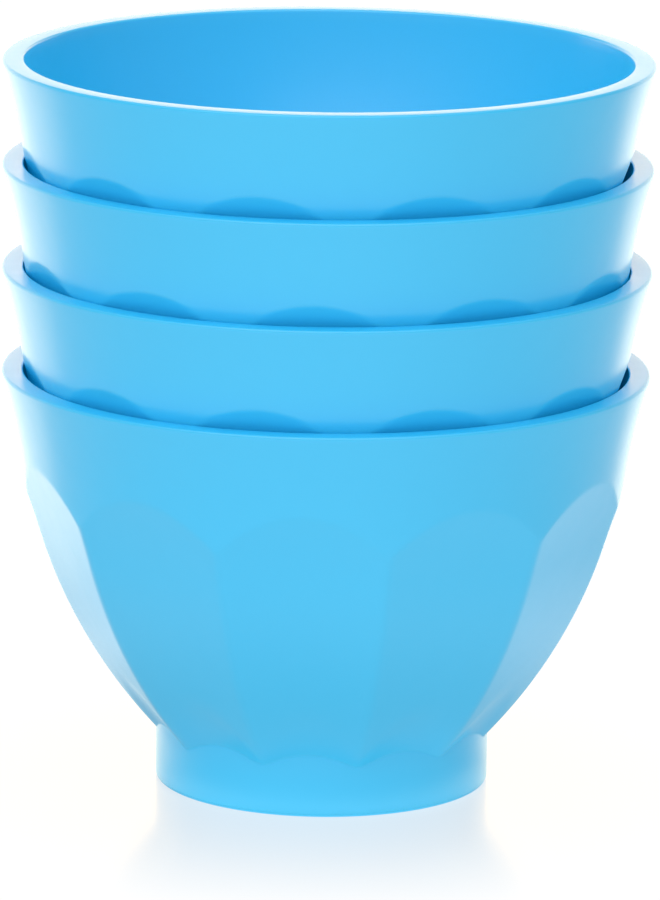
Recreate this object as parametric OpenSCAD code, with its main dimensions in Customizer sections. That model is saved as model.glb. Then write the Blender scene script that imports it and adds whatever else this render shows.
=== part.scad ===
// Four hair color bowls, all alike, nested one inside another and standing on a table.
// Each bowl is one moulding: a ring foot, a lower wall of flat facets with arched tops,
// and a plain band that flares out to the rim. The inside is smooth.
// Z is up, the lowest foot stands on z = 0 and the stack's axis is x = y = 0. The front is -Y.

/* [Stack] */
// Height of each bowl above the bowl that it stands in
nest_step = 19.37; // [19.2:0.01:20.5]
// Air left between a foot and the bowl below
seat_gap = 0.02; // [0.01:0.01:0.1]
// Turn of the lowest bowl's facets about the axis, in degrees
turn_bottom = -4; // [-16:0.1:16]
// Turn of the second bowl's facets
turn_second = -12.4; // [-16:0.1:16]
// Turn of the third bowl's facets
turn_third = -2.1; // [-16:0.1:16]
// Turn of the top bowl's facets
turn_top = -12.7; // [-16:0.1:16]

/* [Rim] */
// Outer radius at the top of the rim
rim_r = 60.35; // [59.5:0.05:62]
// Height of one bowl
bowl_h = 78.1; // [77.2:0.1:80]
// Width of the rim, from its outer edge to its inner edge
lip_w = 4.1; // [3.6:0.05:4.3]
// Rounding of the rim's two edges
lip_edge = 0.5; // [0.3:0.05:1]

/* [Plain band] */
// Radius of the arc along which the outer wall flares
flare_arc = 103; // [95:1:107]
// Height at which the flare starts from upright
flare_z = 46; // [44:0.5:47]

/* [Inside] */
// Radius of the arc from the rim down to the floor
inner_arc = 112; // [108:1:116]
// Height of the floor inside
floor_z = 13.5; // [12.5:0.1:15]
// Rounding where the wall meets the floor
floor_fillet = 9; // [5:0.5:12]

/* [Facets] */
// Number of facets around the bowl
facets = 11; // [10:1:12]
// Distance from the axis to a facet's middle, at the height where its curve turns
turn_d = 51.2; // [50.8:0.1:51.5]
// Height at which a facet's curve turns from bulging to hollow
turn_z = 48; // [47:0.1:49]
// Lean of a facet from upright at that height, in degrees
turn_lean = 16.2; // [15.5:0.1:17]
// Radius of the bulging arc below that height
belly_arc = 100; // [98:1:104]
// Radius of the hollow arc above that height
arch_arc = 110; // [100:1:120]
// Radius of the shallow dip at the bottom of each facet
dip_r = 45; // [40:1:50]
// Height at which the dip's deepest line meets the foot
dip_z = 11.85; // [11.5:0.05:12.1]
// Lean of the dip from upright, in degrees
dip_lean = 39.6; // [39:0.1:40.5]

/* [Foot] */
// Outer radius of the foot
foot_r = 31.1; // [30:0.1:31.5]
// Rounding of the foot's outer edge
foot_edge = 0.8; // [0.6:0.1:1.6]
// Width of the ring that the bowl stands on
foot_w = 3.4; // [2.5:0.1:5]
// Depth of the hollow inside the foot
recess_h = 9.4; // [8:0.1:10]
// Rounding at the top of that hollow and of the ring's inner edge
recess_edge = 1; // [0.5:0.1:2]
// Radius of the gate mark under the floor
gate_r = 2.2; // [1.5:0.1:4]
// Height of the gate mark
gate_h = 0.6; // [0.3:0.1:1]

/* [Hidden] */
plastic = [0.33, 0.76, 0.98];
curve_fn = 180;
over = 2;
gate_sink = 1;

facet_step = 360 / facets;
// The body starts inside the foot, and the foot ends inside the body.
body_z = 6;
foot_top = 12;
// A cutter starts inside the foot, passes the arch tops, and is wider than its facet.
cutter_top = 66;
cutter_in = 27;
dip_length = 40;
cutter_reach = 72;
cutter_w = 44;

// Centre of the outer wall's flare: it passes through the rim's outer corner.
flare_c = [rim_r + sqrt(pow(flare_arc, 2) - pow(bowl_h - flare_z, 2)), flare_z];

// Centre of the inner wall's arc. It passes through the rim's inner corner, and the rounded
// edge of the next bowl's foot touches it, less the seat gap.
rim_in = [rim_r - lip_w, bowl_h];
next_edge = [foot_r - foot_edge, nest_step + foot_edge];
edge_arc = inner_arc - foot_edge - seat_gap;
span = norm(rim_in - next_edge);
along = (rim_in - next_edge) / span;
along_d = (pow(edge_arc, 2) - pow(inner_arc, 2) + pow(span, 2)) / (2 * span);
across_d = sqrt(pow(edge_arc, 2) - pow(along_d, 2));
inner_c = next_edge + along_d * along + across_d * [-along.y, along.x];

// Rounding circles of the rim, each tangent to its wall and to the top.
lip_z = bowl_h - lip_edge;
lip_out = [flare_c.x - sqrt(pow(flare_arc + lip_edge, 2) - pow(lip_z - flare_c.y, 2)), lip_z];
lip_in = [inner_c.x + sqrt(pow(inner_arc + lip_edge, 2) - pow(lip_z - inner_c.y, 2)), lip_z];
lip_out_z = flare_c.y + flare_arc / (flare_arc + lip_edge) * (lip_z - flare_c.y);
lip_in_z = inner_c.y + inner_arc / (inner_arc + lip_edge) * (lip_z - inner_c.y);

// Rounding circle of the floor, tangent to the inner wall's arc and to the floor.
fillet_z = floor_z + floor_fillet;
fillet_arc = inner_arc - floor_fillet;
fillet_c = [inner_c.x + sqrt(pow(fillet_arc, 2) - pow(inner_c.y - fillet_z, 2)), fillet_z];
fillet_top = inner_c.y + inner_arc / fillet_arc * (fillet_z - inner_c.y);

// Centres of a facet's two arcs, which are tangent to each other where the curve turns.
facet_out = [cos(turn_lean), -sin(turn_lean)];
turn_point = [turn_d, turn_z];
belly_c = turn_point - belly_arc * facet_out;
arch_c = turn_point + arch_arc * facet_out;

// A rectangle from one corner to the opposite one.
module box2(low, high) {
    translate(low)
        square(high - low);
}

// A disc about a point.
module disc(centre, r) {
    translate(centre)
        circle(r = r, $fn = curve_fn);
}

// Half section of the plain body, before the facets are cut and the inside is taken out.
module body_section() {
    difference() {
        box2([0, body_z], [rim_r + over, bowl_h]);
        disc(flare_c, flare_arc);
        difference() {
            box2([lip_out.x, lip_out_z], [rim_r + over, bowl_h + over]);
            disc(lip_out, lip_edge);
        }
    }
}

// Half section of the foot, solid, with its outer edge rounded.
module foot_section() {
    box2([0, foot_edge], [foot_r, foot_top]);
    box2([0, 0], [foot_r - foot_edge, foot_edge]);
    disc([foot_r - foot_edge, foot_edge], foot_edge);
}

// Half section of the space inside the bowl.
module inside_section() {
    intersection() {
        box2([0, fillet_top], [rim_r, bowl_h + over]);
        disc(inner_c, inner_arc);
    }
    box2([0, floor_z], [fillet_c.x, fillet_top]);
    intersection() {
        box2([fillet_c.x - over, floor_z - over], [rim_r, fillet_top]);
        disc(fillet_c, floor_fillet);
    }
    difference() {
        box2([rim_in.x - over, lip_in_z], [lip_in.x, bowl_h + over]);
        disc(lip_in, lip_edge);
    }
}

// Half section of the hollow inside the foot, rounded at its top and opened at its mouth.
module recess_section() {
    recess_r = foot_r - foot_w;
    box2([0, -over], [recess_r, recess_h - recess_edge]);
    box2([0, 0], [recess_r - recess_edge, recess_h]);
    disc([recess_r - recess_edge, recess_h - recess_edge], recess_edge);
    difference() {
        box2([recess_r - over, -over], [recess_r + recess_edge, recess_edge]);
        disc([recess_r + recess_edge, recess_edge], recess_edge);
    }
}

// What one facet takes off, with the facet facing +X: everything beyond its two arcs.
module facet_cutter() {
    rotate([90, 0, 0])
        linear_extrude(height = cutter_w, center = true) {
            difference() {
                box2([cutter_in, body_z - over], [cutter_reach, turn_z]);
                disc(belly_c, belly_arc);
            }
            intersection() {
                box2([turn_d - over, turn_z], [cutter_reach, cutter_top]);
                disc(arch_c, arch_arc);
            }
        }
}

// The dip of one facet, with the facet facing +X: a leaning cylinder outside the facet.
module dip_cutter() {
    translate([foot_r, 0, dip_z])
        rotate([0, dip_lean, 0])
            translate([dip_r, 0, 0])
                cylinder(r = dip_r, h = dip_length, center = true, $fn = curve_fn);
}

// One bowl, with a facet facing the front.
module bowl() {
    difference() {
        union() {
            difference() {
                rotate_extrude($fn = curve_fn)
                    body_section();
                for (i = [0 : facets - 1])
                    rotate(i * facet_step - 90) {
                        facet_cutter();
                        dip_cutter();
                    }
            }
            rotate_extrude($fn = curve_fn)
                foot_section();
        }
        rotate_extrude($fn = curve_fn)
            inside_section();
        rotate_extrude($fn = curve_fn)
            recess_section();
    }
    translate([0, 0, recess_h - gate_h])
        cylinder(r = gate_r, h = gate_h + gate_sink, $fn = curve_fn);
}

// A bowl at its place in the stack, counted from the table, turned by its own angle.
module nested(level, turn) {
    translate([0, 0, level * nest_step])
        rotate(turn)
            bowl();
}

module bottom_bowl() color(plastic) nested(0, turn_bottom);
module second_bowl() color(plastic) nested(1, turn_second);
module third_bowl() color(plastic) nested(2, turn_third);
module top_bowl() color(plastic) nested(3, turn_top);

bottom_bowl();
second_bowl();
third_bowl();
top_bowl();
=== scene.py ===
"""Four nested hair color bowls of glossy light blue plastic, in a plain white studio."""

import math

import bpy
import numpy as np
from mathutils import Matrix, Vector


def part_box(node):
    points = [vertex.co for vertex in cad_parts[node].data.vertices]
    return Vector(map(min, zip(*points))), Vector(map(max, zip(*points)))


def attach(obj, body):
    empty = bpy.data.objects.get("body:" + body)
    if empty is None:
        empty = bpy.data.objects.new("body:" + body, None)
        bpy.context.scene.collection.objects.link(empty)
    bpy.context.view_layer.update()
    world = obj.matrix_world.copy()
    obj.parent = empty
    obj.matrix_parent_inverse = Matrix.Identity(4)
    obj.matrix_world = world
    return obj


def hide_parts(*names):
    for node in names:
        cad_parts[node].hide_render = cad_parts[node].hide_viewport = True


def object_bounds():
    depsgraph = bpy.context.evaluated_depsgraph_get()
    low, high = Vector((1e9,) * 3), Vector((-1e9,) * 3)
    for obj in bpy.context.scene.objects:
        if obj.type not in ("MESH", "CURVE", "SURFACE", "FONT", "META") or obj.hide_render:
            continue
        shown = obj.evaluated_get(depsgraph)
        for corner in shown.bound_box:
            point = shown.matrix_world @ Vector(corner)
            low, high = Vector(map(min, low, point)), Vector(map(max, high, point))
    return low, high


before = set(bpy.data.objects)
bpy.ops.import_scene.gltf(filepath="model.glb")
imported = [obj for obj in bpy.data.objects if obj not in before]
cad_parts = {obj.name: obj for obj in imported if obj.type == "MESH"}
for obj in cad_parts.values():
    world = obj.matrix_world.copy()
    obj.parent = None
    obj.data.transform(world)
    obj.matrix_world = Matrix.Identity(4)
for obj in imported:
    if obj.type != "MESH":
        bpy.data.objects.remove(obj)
cad_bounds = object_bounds()

MM = 0.001

# The bowls from the table up: node, body, and the turn of its facets about the axis in degrees.
BOWLS = (
    ("bottom_bowl", "bottom", -4.0),
    ("second_bowl", "second", -12.4),
    ("third_bowl", "third", -2.1),
    ("top_bowl", "top", -12.7),
)

# A bowl's height and the step to the next bowl come from the frame. The frame's boxes don't give the
# rest, which is in millimetres, as are all the shapes below until the mesh is made.
LOW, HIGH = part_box("bottom_bowl")
NEXT_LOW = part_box("second_bowl")[0]
HEIGHT = (HIGH.z - LOW.z) / MM
NEST_STEP = (NEXT_LOW.z - LOW.z) / MM

# Rim: its outer radius, its width and the rounding of its two edges.
RIM_R = 60.35
LIP_W = 4.1
LIP_EDGE = 0.5

# Plain band: the arc along which it flares, and the height at which the flare starts.
FLARE_ARC = 103.0
FLARE_Z = 46.0

# Inside: the wall's arc, the floor's height and the rounding between the two.
INNER_ARC = 112.0
FLOOR_Z = 13.5
FLOOR_FILLET = 9.0

# Facets: the distance from the axis, height and lean at which a facet's curve turns from bulging to
# hollow, the arcs below and above that height, and the dip at the bottom.
FACETS = 11
TURN_D = 51.2
TURN_Z = 48.0
TURN_LEAN = math.radians(16.2)
BELLY_ARC = 100.0
ARCH_ARC = 110.0
DIP_R = 45.0
DIP_Z = 11.85
DIP_LEAN = math.radians(39.6)

# Foot: its radius, the rounding of its edge, its ring, the hollow inside it and the gate mark there.
FOOT_R = 31.1
FOOT_EDGE = 0.8
FOOT_W = 3.4
RECESS_H = 9.4
RECESS_EDGE = 1.0
GATE_R = 2.2
GATE_H = 0.6
GATE_EDGE = 0.33

# How deep the blends bite into the sharp edges of the facets: ridge, arch, dip and foot.
RIDGE_BLEND = 0.55
ARCH_BLEND = 0.22
DIP_BLEND = 0.3
FOOT_BLEND = 0.2

# The mesh's columns and rows, and how strongly they crowd towards the edges.
HALF_FACET = math.pi / FACETS
COLUMNS_PER_HALF = 16
COLUMN_CROWDING = 1.5
FOOT_ROWS = 12
FOOT_CROWDING = 1.8
WALL_ROWS = 48
BAND_ROWS = 25
BAND_CROWDING = 1.6

# Heights between which the foot's scalloped line and the arch tops lie, and how finely they are found.
FOOT_LINE_RANGE = (6.0, 14.0)
ARCH_LINE_RANGE = (50.0, 66.0)
HALVINGS = 40
DIP_ROUNDS = 5

# The plastic, where it is deepest and where it is palest. A NOISE is its scale and its detail, and
# NOISE_SHIFT moves it from bowl to bowl.
DEEP_BLUE = (0.038, 0.472, 0.828)
PALE_BLUE = (0.044, 0.492, 0.845)
PLASTIC_IOR = 1.56
SPECULAR_LEVEL = 0.5
TINT_NOISE = (18, 3)
NOISE_SHIFT = (0.37, 0.61, 0.23)

# Its gloss varies a little between these two roughnesses, and its surface has a very fine grain.
GLOSS_RANGE = (0.23, 0.31)
GLOSS_NOISE = (40, 3)
GRAIN_NOISE = (450, 2)
GRAIN_STRENGTH = 0.04
GRAIN_DEPTH = 0.0002

# Painted glow: the plastic gives off a faint light of its own everywhere, as painted fill light on its
# shaded parts.
PAINTED_FILL_GLOW = (0.0, 0.5, 0.7)
PAINTED_FILL_GLOW_STRENGTH = 0.14

# Painted shade darkens the plastic by up to GAP_SHADE in gaps, where other surfaces lie within GAP_REACH
# metres.
# GAP_OPEN is the openness at which that shade is full and at which it is gone. Sides that face away
# from the axis count as a little more open, and level ones as quite open. Both are told by a cosine.
GAP_SHADE = 0.95
GAP_REACH = 0.004
GAP_SAMPLES = 3
GAP_OPEN = (0.45, 0.85)
OUTER_SIDE = (-0.2, 0.2)
OUTER_SIDE_OPEN = 0.5
LEVEL_SIDE = (0.3, 0.7)

# What the camera sees of the floor and the room.
WHITE = (1.03, 1.03, 1.03)

# The plastic reflects one brightness of the studio, called SEEN, and is lit by another, called LIGHT.
# The back begins where the cosine of the angle from BACK_SIDE passes BACK_EDGE.
BACK_SIDE = (-0.174, 0.985, 0.0)
BACK_EDGE = (0.46, 0.64)

# The floor in reflections. A RING is two distances from the axis, in metres, between which a brightness
# changes. It is dim at the foot and far to the right, and brighter behind in two steps.
FLOOR_RADIUS = 4
FLOOR_SEEN = 1.35
FOOT_DIM = 0.42
FOOT_DIM_RING = (0.033, 0.085)
RIGHT_DIM = 0.2
RIGHT_DIM_RING = (0.08, 0.2)
RIGHT_EDGE = (0.1, 0.9)
FLOOR_SEEN_BACK = (0.95, 0.79, 0.49)
BACK_STEP = 0.2
BACK_STEP_RING = (0.05, 0.068)
BACK_FULL_RING = (0.092, 0.17)

# Rays that graze the floor also meet a glow at the foot, and a wider one behind it.
GRAZING = (0.25, 0.45)
FOOT_GLOW = 1.2
FOOT_GLOW_RING = (0.038, 0.052)
BACK_GLOW = 1.3
BACK_GLOW_RING = (0.055, 0.065)
BACK_GLOW_EDGE = (-0.4, 0.3)

# The floor as a light, from the front to the back, dimmer near the bowls but bright right at the foot.
FLOOR_LIGHT_FRONT = 1.05
FLOOR_LIGHT_BACK = 0.4
FLOOR_LIGHT_TURN = (-0.95, 0.2)
NEAR_LIGHT = 0.75
NEAR_LIGHT_RING = (0.03, 0.2)
FOOT_LIGHT = 0.45
FOOT_LIGHT_RING = (0.035, 0.05)

# The floor's own gloss, which the camera sees under the foot.
MIRROR = 0.34
MIRROR_RING = (0.03, 0.11)
MIRROR_ROUGHNESS = 0.22

# The world's brightness. A RISE is two heights, as sines, between which it changes.
SKY_BASE = 0.45
SKY_TOP = 1.12
SKY_RISE = (0.55, 0.95)
SKY_SEEN_BACK = (2.1, 1.5, 0.85)
SKY_LIGHT_BACK = (0.3, 0.3, 0.3)
SKY_BACK_RISE = (0.2, 0.5)

# A wide soft lamp above and in front. Its lower edge lies LAMP_SEEN_LIFT higher in reflections.
LAMP = 1.27
LAMP_EDGE = (0.62, 0.97)
LAMP_RISE = (0.1, 0.4)
LAMP_SEEN_SIDE = Vector((-0.07, -0.7, 0.7)).normalized()
LAMP_SEEN_LIFT = 0.15
LAMP_LIGHT_SIDE = Vector((-0.35, -0.8, 0.52)).normalized()

# The camera: metres, angles, millimetres of lens, and its aim as a share of the stack's height.
CAMERA_DISTANCE = 1.389
CAMERA_ELEVATION = math.radians(12.63)
CAMERA_ROLL = math.radians(0.69)
CAMERA_LENS = 298.4
CAMERA_AIM_RIGHT = 0.00093
CAMERA_AIM_HEIGHT = 0.4583
CAMERA_CLIP_END = 20


def smooth_min(a, b, k):
    """The smaller of two distances, rounded off where they differ by less than k."""
    near = np.maximum(k - np.abs(a - b), 0) / k
    return np.minimum(a, b) - near * near * k / 4


def flare_centre():
    """Centre of the outer wall's flare, as (radius, height), so that the flare ends at the rim."""
    return RIM_R + math.sqrt(FLARE_ARC**2 - (HEIGHT - FLARE_Z) ** 2), FLARE_Z


def flare_radius(z):
    """Outer radius of the plain band: an arc that starts upright at FLARE_Z and ends at the rim."""
    rise = np.maximum(z - FLARE_Z, 0)
    return flare_centre()[0] - np.sqrt(FLARE_ARC**2 - rise**2)


def facet_distance(z):
    """Distance of a facet's middle from the axis: a bulging arc, then a hollow one above TURN_Z."""
    belly_x = TURN_D - BELLY_ARC * math.cos(TURN_LEAN)
    belly_z = TURN_Z + BELLY_ARC * math.sin(TURN_LEAN)
    arch_x = TURN_D + ARCH_ARC * math.cos(TURN_LEAN)
    arch_z = TURN_Z - ARCH_ARC * math.sin(TURN_LEAN)
    belly = belly_x + np.sqrt(np.maximum(BELLY_ARC**2 - (z - belly_z) ** 2, 0))
    arch = arch_x - np.sqrt(np.maximum(ARCH_ARC**2 - (z - arch_z) ** 2, 0))
    return np.where(z <= TURN_Z, belly, arch)


def one_facet_radius(off, z):
    """Radius of one facet and of the dip at its bottom, at an angle from the facet's middle.

    The dip's radius depends on itself, and settles in a few rounds.
    """
    flat = facet_distance(z) / np.cos(off)
    dipped = flat
    for _ in range(DIP_ROUNDS):
        sagitta = DIP_R - np.sqrt(DIP_R**2 - np.minimum(dipped * np.sin(off), 0.9 * DIP_R) ** 2)
        reach = FOOT_R * math.cos(DIP_LEAN) + (z - DIP_Z) * math.sin(DIP_LEAN) + sagitta
        dipped = reach / (np.cos(off) * math.cos(DIP_LEAN))
    return smooth_min(flat, dipped, DIP_BLEND)


def facet_radius(phi, z):
    """Radius of the faceted wall, with its ridges rounded."""
    off = np.abs((phi + HALF_FACET) % (2 * HALF_FACET) - HALF_FACET)
    return smooth_min(one_facet_radius(off, z), one_facet_radius(2 * HALF_FACET - off, z), RIDGE_BLEND)


def outer_radius(phi, z):
    """Radius of the whole outside above the foot's rounded edge."""
    wall = smooth_min(flare_radius(z), facet_radius(phi, z), ARCH_BLEND)
    foot = np.full_like(wall, FOOT_R)
    return np.where(z < TURN_Z, -smooth_min(-wall, -foot, FOOT_BLEND), wall)


def crossing(phi, low, high, gap):
    """Height between low and high at which gap(phi, z) changes sign, for every column."""
    a = np.full_like(phi, low)
    b = np.full_like(phi, high)
    for _ in range(HALVINGS):
        middle = (a + b) / 2
        rising = gap(phi, middle) > 0
        b = np.where(rising, middle, b)
        a = np.where(rising, a, middle)
    return (a + b) / 2


def column_angles():
    """Angles of the mesh's columns, closer together at the ridges."""
    steps = np.arange(COLUMNS_PER_HALF) / COLUMNS_PER_HALF
    from_ridge = HALF_FACET * steps**COLUMN_CROWDING
    to_ridge = 2 * HALF_FACET - HALF_FACET * (1 - steps) ** COLUMN_CROWDING
    facet = np.concatenate([from_ridge, to_ridge])
    return np.concatenate([facet + HALF_FACET * (2 * i - 1) for i in range(FACETS)])


def arc_rows(centre, radius, start, end, count):
    """Points of an arc in a half section, from one angle to another in degrees, both ends included."""
    angles = np.radians(np.linspace(start, end, count))
    return [(centre[0] + radius * math.cos(a), centre[1] + radius * math.sin(a)) for a in angles]


def angle_of(point, centre):
    """Direction of a point from a centre, in degrees."""
    return math.degrees(math.atan2(point[1] - centre[1], point[0] - centre[0]))


def inner_arc_centre():
    """Centre of the inner wall's arc: through the rim's inner corner, touched by the next foot's edge."""
    corner = np.array([RIM_R - LIP_W, HEIGHT])
    edge = np.array([FOOT_R - FOOT_EDGE, NEST_STEP + FOOT_EDGE])
    reach = INNER_ARC - FOOT_EDGE
    span = np.linalg.norm(corner - edge)
    along = (corner - edge) / span
    along_d = (reach**2 - INNER_ARC**2 + span**2) / (2 * span)
    across_d = math.sqrt(reach**2 - along_d**2)
    return edge + along_d * along + across_d * np.array([-along[1], along[0]])


def round_rows(section, like):
    """Rows that are true circles, from the (radius, height) points of a half section."""
    ones = np.ones_like(like)
    return [(r * ones, z * ones) for r, z in section]


def underside_section():
    """Half section of the underside, from near the axis to the flat ring of the foot."""
    recess_r = FOOT_R - FOOT_W
    gate_top = RECESS_H - GATE_H
    points = [(0.3 * GATE_R, gate_top), (0.8 * GATE_R, gate_top)]
    points += arc_rows((GATE_R - GATE_EDGE, gate_top + GATE_EDGE), GATE_EDGE, -90, 0, 4)
    points += [(GATE_R, RECESS_H - GATE_EDGE / 3), (1.1 * GATE_R, RECESS_H)]
    points += [(r, RECESS_H) for r in np.linspace(2 * GATE_R, recess_r - 1.4 * RECESS_EDGE, 8)]
    points += arc_rows((recess_r - RECESS_EDGE, RECESS_H - RECESS_EDGE), RECESS_EDGE, 90, 0, 7)
    points += [(recess_r, z) for z in np.linspace(RECESS_H - 1.4 * RECESS_EDGE, 1.4 * RECESS_EDGE, 5)]
    points += arc_rows((recess_r + RECESS_EDGE, RECESS_EDGE), RECESS_EDGE, 180, 270, 7)
    return points


def inside_section():
    """Half section from the middle of the rim's top, down the inner wall to near the axis."""
    centre = inner_arc_centre()
    lip_z = HEIGHT - LIP_EDGE
    lip_x = centre[0] + math.sqrt((INNER_ARC + LIP_EDGE) ** 2 - (lip_z - centre[1]) ** 2)
    lip = (lip_x, lip_z)
    fillet_z = FLOOR_Z + FLOOR_FILLET
    fillet_x = centre[0] + math.sqrt((INNER_ARC - FLOOR_FILLET) ** 2 - (centre[1] - fillet_z) ** 2)
    fillet = (fillet_x, fillet_z)
    wall_start = angle_of(lip, centre)
    wall_end = angle_of(fillet, centre)
    points = arc_rows(lip, LIP_EDGE, 90, angle_of(centre, lip) % 360, 7)
    points += arc_rows(centre, INNER_ARC, wall_start, wall_end, 36)[1:-1]
    points += arc_rows(fillet, FLOOR_FILLET, wall_end, -90, 12)
    points += [(r, FLOOR_Z) for r in np.linspace(0.92 * fillet_x, 0.04 * fillet_x, 7)]
    return points


def outside_rows(phi):
    """Rows of the outside, as (radius, height) arrays, following the scalloped foot line and the arches."""
    foot_line = crossing(phi, *FOOT_LINE_RANGE, lambda p, z: facet_radius(p, z) - FOOT_R)
    arch_line = crossing(phi, *ARCH_LINE_RANGE, lambda p, z: facet_radius(p, z) - flare_radius(z))
    flare_x = flare_centre()[0]
    lip_z = HEIGHT - LIP_EDGE
    lip_x = flare_x - math.sqrt((FLARE_ARC + LIP_EDGE) ** 2 - (lip_z - FLARE_Z) ** 2)
    lip_start = angle_of((flare_x, FLARE_Z), (lip_x, lip_z))
    lip_low = lip_z + LIP_EDGE * math.sin(math.radians(lip_start))

    up_foot = 1 - (1 - np.linspace(0, 1, FOOT_ROWS + 1)[1:-1]) ** FOOT_CROWDING
    up_wall = 0.5 - 0.5 * np.cos(np.linspace(0, math.pi, WALL_ROWS + 1))
    up_band = np.linspace(0, 1, BAND_ROWS + 1)[1:-1] ** BAND_CROWDING
    heights = [FOOT_EDGE + (foot_line - FOOT_EDGE) * t for t in up_foot]
    heights += [foot_line + (arch_line - foot_line) * t for t in up_wall]
    heights += [arch_line + (lip_low - arch_line) * t for t in up_band]

    rows = round_rows(arc_rows((FOOT_R - FOOT_EDGE, FOOT_EDGE), FOOT_EDGE, -90, 0, 8), phi)
    rows += [(outer_radius(phi, z), z) for z in heights]
    rows += round_rows(arc_rows((lip_x, lip_z), LIP_EDGE, lip_start, 90, 8), phi)
    return rows


def grid_mesh(name, rows, columns):
    """A closed mesh from rows of points round the axis, with a fan at each end."""
    count = len(columns)
    points = np.array([np.stack([r * np.sin(columns), -r * np.cos(columns), z], axis=1) for r, z in rows])
    first = np.array([[0, 0, rows[0][1][0]]])
    last = np.array([[0, 0, rows[-1][1][0]]])
    vertices = np.concatenate([points.reshape(-1, 3), first, last]) * MM
    column = np.arange(count)
    after = (column + 1) % count
    faces = []
    for i in range(len(rows) - 1):
        a = i * count
        b = a + count
        faces += np.stack([a + column, a + after, b + after, b + column], axis=1).tolist()
    start = len(rows) * count
    end = start + 1
    top = start - count
    faces += np.stack([np.full(count, start), after, column], axis=1).tolist()
    faces += np.stack([np.full(count, end), top + column, top + after], axis=1).tolist()
    mesh = bpy.data.meshes.new(name)
    mesh.from_pydata(vertices.tolist(), [], faces)
    mesh.shade_smooth()
    mesh.validate()
    return mesh


def bowl(node, body, turn, material):
    """One bowl as a single closed mesh, standing where its CAD node stands."""
    phi = column_angles()
    rows = round_rows(underside_section(), phi) + outside_rows(phi) + round_rows(inside_section(), phi)
    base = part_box(node)[0].z / MM
    rows = [(r, z + base) for r, z in rows]
    mesh = grid_mesh(node + "_shell", rows, phi + math.radians(turn))
    mesh.materials.append(material)
    shell = bpy.data.objects.new(node + "_shell", mesh)
    bpy.context.scene.collection.objects.link(shell)
    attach(shell, body)
    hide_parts(node)


def new_material(name):
    """An empty node material and its node tree."""
    material = bpy.data.materials.new(name)
    material.use_nodes = True
    material.node_tree.nodes.clear()
    return material, material.node_tree


class Maths:
    """Short names for the sums that are made with nodes."""

    def __init__(self, tree):
        self.tree = tree

    def node(self, kind, **settings):
        """A node with its own settings."""
        node = self.tree.nodes.new(kind)
        for key, value in settings.items():
            setattr(node, key, value)
        return node

    def put(self, value, socket):
        """Gives an input a number, a tuple or another node's output."""
        if isinstance(value, bpy.types.NodeSocket):
            self.tree.links.new(value, socket)
        else:
            socket.default_value = value

    def fill(self, node, values):
        """Gives a node's first inputs their values, in order."""
        for value, socket in zip(values, node.inputs):
            self.put(value, socket)

    def number(self, operation, *values):
        """The result of one math node."""
        node = self.node("ShaderNodeMath", operation=operation)
        self.fill(node, values)
        return node.outputs[0]

    def times(self, a, b):
        """Two numbers multiplied."""
        return self.number("MULTIPLY", a, b)

    def vector(self, operation, *values):
        """The result of one vector math node that gives a vector."""
        node = self.node("ShaderNodeVectorMath", operation=operation)
        self.fill(node, values)
        return node.outputs["Vector"]

    def length(self, value):
        """Length of a vector."""
        node = self.node("ShaderNodeVectorMath", operation="LENGTH")
        self.fill(node, [value])
        return node.outputs["Value"]

    def along(self, value, direction):
        """How far a vector goes in a direction."""
        node = self.node("ShaderNodeVectorMath", operation="DOT_PRODUCT")
        self.fill(node, [value, direction])
        return node.outputs["Value"]

    def flattened(self, value):
        """A vector with its height taken out."""
        return self.vector("MULTIPLY", value, (1, 1, 0))

    def ramp(self, value, low, high, start=0.0, end=1.0):
        """A value's way from low to high, eased at both ends, as start to end."""
        node = self.node("ShaderNodeMapRange", interpolation_type="SMOOTHSTEP")
        self.fill(node, (value, low, high, start, end))
        return node.outputs["Result"]

    def choose(self, factor, first, second):
        """The first colour where the factor is 0 and the second where it is 1."""
        node = self.node("ShaderNodeMix", data_type="VECTOR")
        vector_sockets = (node.inputs[0], node.inputs[4], node.inputs[5])
        for item, socket in zip((factor, first, second), vector_sockets):
            self.put(item, socket)
        return node.outputs[1]

    def noise(self, place, scale, detail):
        """Smooth noise."""
        node = self.node("ShaderNodeTexNoise")
        self.put(place, node.inputs["Vector"])
        node.inputs["Scale"].default_value = scale
        node.inputs["Detail"].default_value = detail
        return node.outputs["Fac"]

    def mixed(self, factor, first, second):
        """Two shaders mixed."""
        node = self.node("ShaderNodeMixShader")
        self.fill(node, (factor, first, second))
        return node.outputs[0]

    def finish(self, kind, shader):
        """Ends the tree with an output node of this kind."""
        output = self.node(kind)
        self.put(shader, output.inputs["Surface"])


def gap_clearness(maths, place):
    """How little painted shade darkens the plastic: 1 in the open, less deep in a gap, for the camera's
    rays only.
    """
    closeness = maths.node("ShaderNodeAmbientOcclusion", samples=GAP_SAMPLES)
    closeness.inputs["Distance"].default_value = GAP_REACH
    facing = maths.node("ShaderNodeNewGeometry").outputs["Normal"]
    from_axis = maths.vector("NORMALIZE", maths.flattened(place))
    outer_side = maths.ramp(maths.along(facing, from_axis), *OUTER_SIDE, 0, OUTER_SIDE_OPEN)
    level_side = maths.ramp(maths.number("ABSOLUTE", maths.along(facing, (0, 0, 1))), *LEVEL_SIDE)
    open_side = maths.number("ADD", outer_side, level_side)
    shade = maths.ramp(maths.number("ADD", closeness.outputs["AO"], open_side), *GAP_OPEN, GAP_SHADE, 0)
    shade = maths.times(shade, maths.node("ShaderNodeLightPath").outputs["Is Camera Ray"])
    return maths.number("SUBTRACT", 1, shade)


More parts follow.
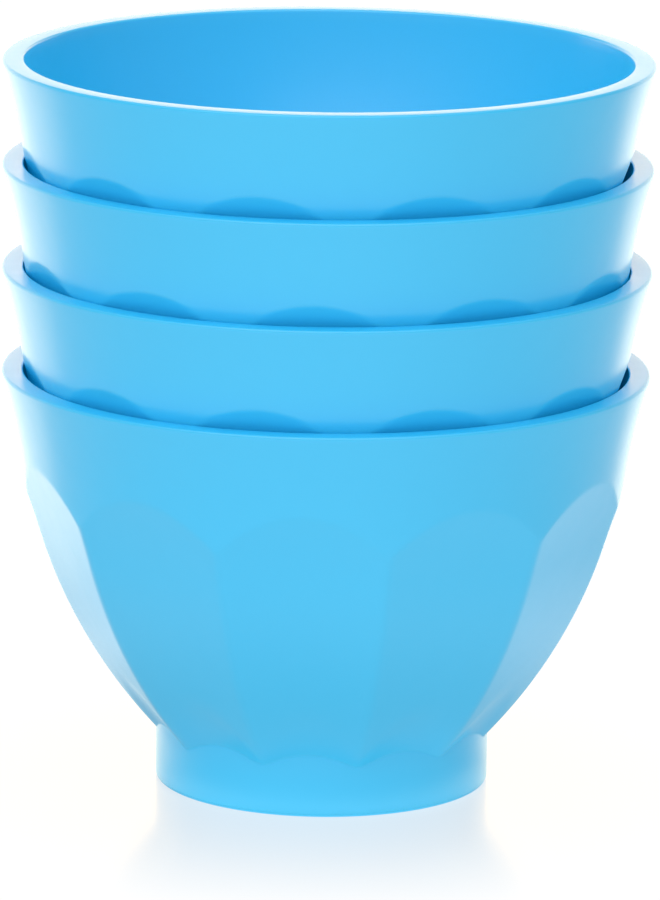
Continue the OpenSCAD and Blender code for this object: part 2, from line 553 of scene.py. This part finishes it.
def plastic_material(name, seed):
    """Glossy light blue moulded plastic, with slight changes of tint, gloss and surface, a painted glow and
    painted shade in the gaps.
    """
    material, tree = new_material(name)
    maths = Maths(tree)
    place = maths.node("ShaderNodeTexCoord").outputs["Object"]
    noise_place = maths.vector("ADD", place, tuple(seed * shift for shift in NOISE_SHIFT))

    tint = maths.node("ShaderNodeMix", data_type="RGBA")
    maths.put(maths.noise(noise_place, *TINT_NOISE), tint.inputs["Factor"])
    tint.inputs["A"].default_value = (*DEEP_BLUE, 1)
    tint.inputs["B"].default_value = (*PALE_BLUE, 1)

    grain = maths.node("ShaderNodeBump")
    grain.inputs["Strength"].default_value = GRAIN_STRENGTH
    grain.inputs["Distance"].default_value = GRAIN_DEPTH
    maths.put(maths.noise(noise_place, *GRAIN_NOISE), grain.inputs["Height"])

    clear = gap_clearness(maths, place)
    # The painted gap shade dims the plastic's colour, its painted glow and its gloss alike.
    colour = maths.vector("MULTIPLY", tint.outputs["Result"], clear)
    glow = maths.times(clear, PAINTED_FILL_GLOW_STRENGTH)
    specular = maths.times(clear, SPECULAR_LEVEL)

    finishes = []
    for roughness in GLOSS_RANGE:
        surface = maths.node("ShaderNodeBsdfPrincipled")
        surface.inputs["IOR"].default_value = PLASTIC_IOR
        surface.inputs["Roughness"].default_value = roughness
        # Painted glow: the plastic shines a faint fill light of its own, though it is no lamp.
        surface.inputs["Emission Color"].default_value = (*PAINTED_FILL_GLOW, 1)
        maths.put(glow, surface.inputs["Emission Strength"])
        maths.put(colour, surface.inputs["Base Color"])
        maths.put(specular, surface.inputs["Specular IOR Level"])
        maths.put(grain.outputs["Normal"], surface.inputs["Normal"])
        finishes.append(surface.outputs["BSDF"])
    shader = maths.mixed(maths.noise(noise_place, *GLOSS_NOISE), *finishes)
    maths.finish("ShaderNodeOutputMaterial", shader)
    return material


def floor_seen(maths, reach, backness, rightness):
    """The floor's brightness in reflections, at a distance from the axis and in a direction from it."""
    right_dim = maths.ramp(reach, *RIGHT_DIM_RING, 0, RIGHT_DIM)
    right_dim = maths.times(maths.ramp(rightness, *RIGHT_EDGE), right_dim)
    dimmed = maths.ramp(reach, *FOOT_DIM_RING, FOOT_DIM, 1)
    dimmed = maths.times(maths.number("SUBTRACT", 1, right_dim), dimmed)

    steepness = maths.along(maths.node("ShaderNodeNewGeometry").outputs["Incoming"], (0, 0, 1))
    back_glow = maths.ramp(reach, *BACK_GLOW_RING, BACK_GLOW, 0)
    back_glow = maths.times(maths.ramp(backness, *BACK_GLOW_EDGE), back_glow)
    foot_glow = maths.ramp(reach, *FOOT_GLOW_RING, FOOT_GLOW, 0)
    glow = maths.times(maths.ramp(steepness, *GRAZING, 1, 0), maths.number("MAXIMUM", back_glow, foot_glow))

    first_step = maths.ramp(reach, *BACK_STEP_RING, 0, BACK_STEP)
    steps = maths.number("ADD", first_step, maths.ramp(reach, *BACK_FULL_RING))
    extra = maths.number("MULTIPLY_ADD", maths.ramp(backness, *BACK_EDGE), steps, glow)
    return maths.vector("MULTIPLY_ADD", extra, FLOOR_SEEN_BACK, maths.times(dimmed, FLOOR_SEEN))


def floor_light(maths, reach, backness):
    """The floor's brightness as a light on the bowls."""
    light = maths.ramp(backness, *FLOOR_LIGHT_TURN, FLOOR_LIGHT_FRONT, FLOOR_LIGHT_BACK)
    light = maths.times(light, maths.ramp(reach, *NEAR_LIGHT_RING, NEAR_LIGHT, 1))
    return maths.number("ADD", light, maths.ramp(reach, *FOOT_LIGHT_RING, FOOT_LIGHT, 0))


def floor_material():
    """White table top with a faint gloss: pure white to the camera from above, and clear from below."""
    material, tree = new_material("floor_white")
    maths = Maths(tree)
    from_axis = maths.flattened(maths.node("ShaderNodeTexCoord").outputs["Object"])
    reach = maths.length(from_axis)
    way = maths.vector("NORMALIZE", from_axis)
    backness = maths.along(way, BACK_SIDE)
    seen = floor_seen(maths, reach, backness, maths.along(way, (1, 0, 0)))
    path = maths.node("ShaderNodeLightPath")
    brightness = maths.choose(path.outputs["Is Glossy Ray"], floor_light(maths, reach, backness), seen)
    brightness = maths.choose(path.outputs["Is Camera Ray"], brightness, WHITE)

    white = maths.node("ShaderNodeEmission")
    maths.put(brightness, white.inputs["Color"])
    mirror = maths.node("ShaderNodeBsdfGlossy")
    mirror.inputs["Roughness"].default_value = MIRROR_ROUGHNESS
    gloss = maths.times(maths.ramp(reach, *MIRROR_RING, MIRROR, 0), path.outputs["Is Camera Ray"])
    top = maths.mixed(gloss, white.outputs[0], mirror.outputs[0])
    from_below = maths.node("ShaderNodeNewGeometry").outputs["Backfacing"]
    clear = maths.node("ShaderNodeBsdfTransparent")
    maths.finish("ShaderNodeOutputMaterial", maths.mixed(from_below, top, clear.outputs[0]))
    return material


def studio_floor():
    """A wide round floor under the lowest foot."""
    bpy.ops.mesh.primitive_circle_add(
        vertices=96, radius=FLOOR_RADIUS, fill_type="NGON", location=(0, 0, LOW.z))
    floor = bpy.context.object
    floor.name = "studio_floor"
    floor.data.materials.append(floor_material())


def studio_world():
    """A world that is bright behind and overhead and dim round the camera, with one soft lamp."""
    world = bpy.data.worlds.new("studio_world")
    bpy.context.scene.world = world
    world.use_nodes = True
    world.node_tree.nodes.clear()
    maths = Maths(world.node_tree)
    way = maths.node("ShaderNodeTexCoord").outputs["Generated"]
    height = maths.along(way, (0, 0, 1))
    path = maths.node("ShaderNodeLightPath")
    seen = path.outputs["Is Glossy Ray"]

    lamp_side = maths.choose(seen, LAMP_LIGHT_SIDE, LAMP_SEEN_SIDE)
    lamp_height = maths.number("ADD", height, maths.times(seen, -LAMP_SEEN_LIFT))
    lamp = maths.ramp(maths.along(way, lamp_side), *LAMP_EDGE)
    lamp = maths.times(lamp, maths.ramp(lamp_height, *LAMP_RISE))

    backness = maths.along(maths.vector("NORMALIZE", maths.flattened(way)), BACK_SIDE)
    behind = maths.times(maths.ramp(backness, *BACK_EDGE), maths.ramp(height, *SKY_BACK_RISE, 1, 0))
    back = maths.choose(seen, SKY_LIGHT_BACK, SKY_SEEN_BACK)

    sky = maths.ramp(height, *SKY_RISE, SKY_BASE, SKY_TOP)
    sky = maths.number("MULTIPLY_ADD", lamp, LAMP, sky)
    sky = maths.vector("MULTIPLY_ADD", behind, back, sky)
    light = maths.node("ShaderNodeBackground")
    maths.put(maths.choose(path.outputs["Is Camera Ray"], sky, WHITE), light.inputs["Color"])
    maths.finish("ShaderNodeOutputWorld", light.outputs[0])


def camera():
    """A long lens in front of the stack, a little above it and turned a touch about its own axis."""
    stack_height = cad_bounds[1][2] - cad_bounds[0][2]
    aim = Vector((CAMERA_AIM_RIGHT, 0, CAMERA_AIM_HEIGHT * stack_height))
    back = Vector((0, -math.cos(CAMERA_ELEVATION), math.sin(CAMERA_ELEVATION)))
    level = Vector((1, 0, 0))
    upright = back.cross(level)
    right = level * math.cos(CAMERA_ROLL) + upright * math.sin(CAMERA_ROLL)
    up = upright * math.cos(CAMERA_ROLL) - level * math.sin(CAMERA_ROLL)
    turn = Matrix((right, up, back)).transposed().to_4x4()
    data = bpy.data.cameras.new("camera")
    data.lens = CAMERA_LENS
    data.clip_end = CAMERA_CLIP_END
    view = bpy.data.objects.new("camera", data)
    view.matrix_world = Matrix.Translation(aim + back * CAMERA_DISTANCE) @ turn
    bpy.context.scene.collection.objects.link(view)
    bpy.context.scene.camera = view


for number, (node, body, turn) in enumerate(BOWLS):
    bowl(node, body, turn, plastic_material(node + "_plastic", number + 1))
studio_floor()
studio_world()
camera()
bpy.context.scene.view_settings.view_transform = "Standard"
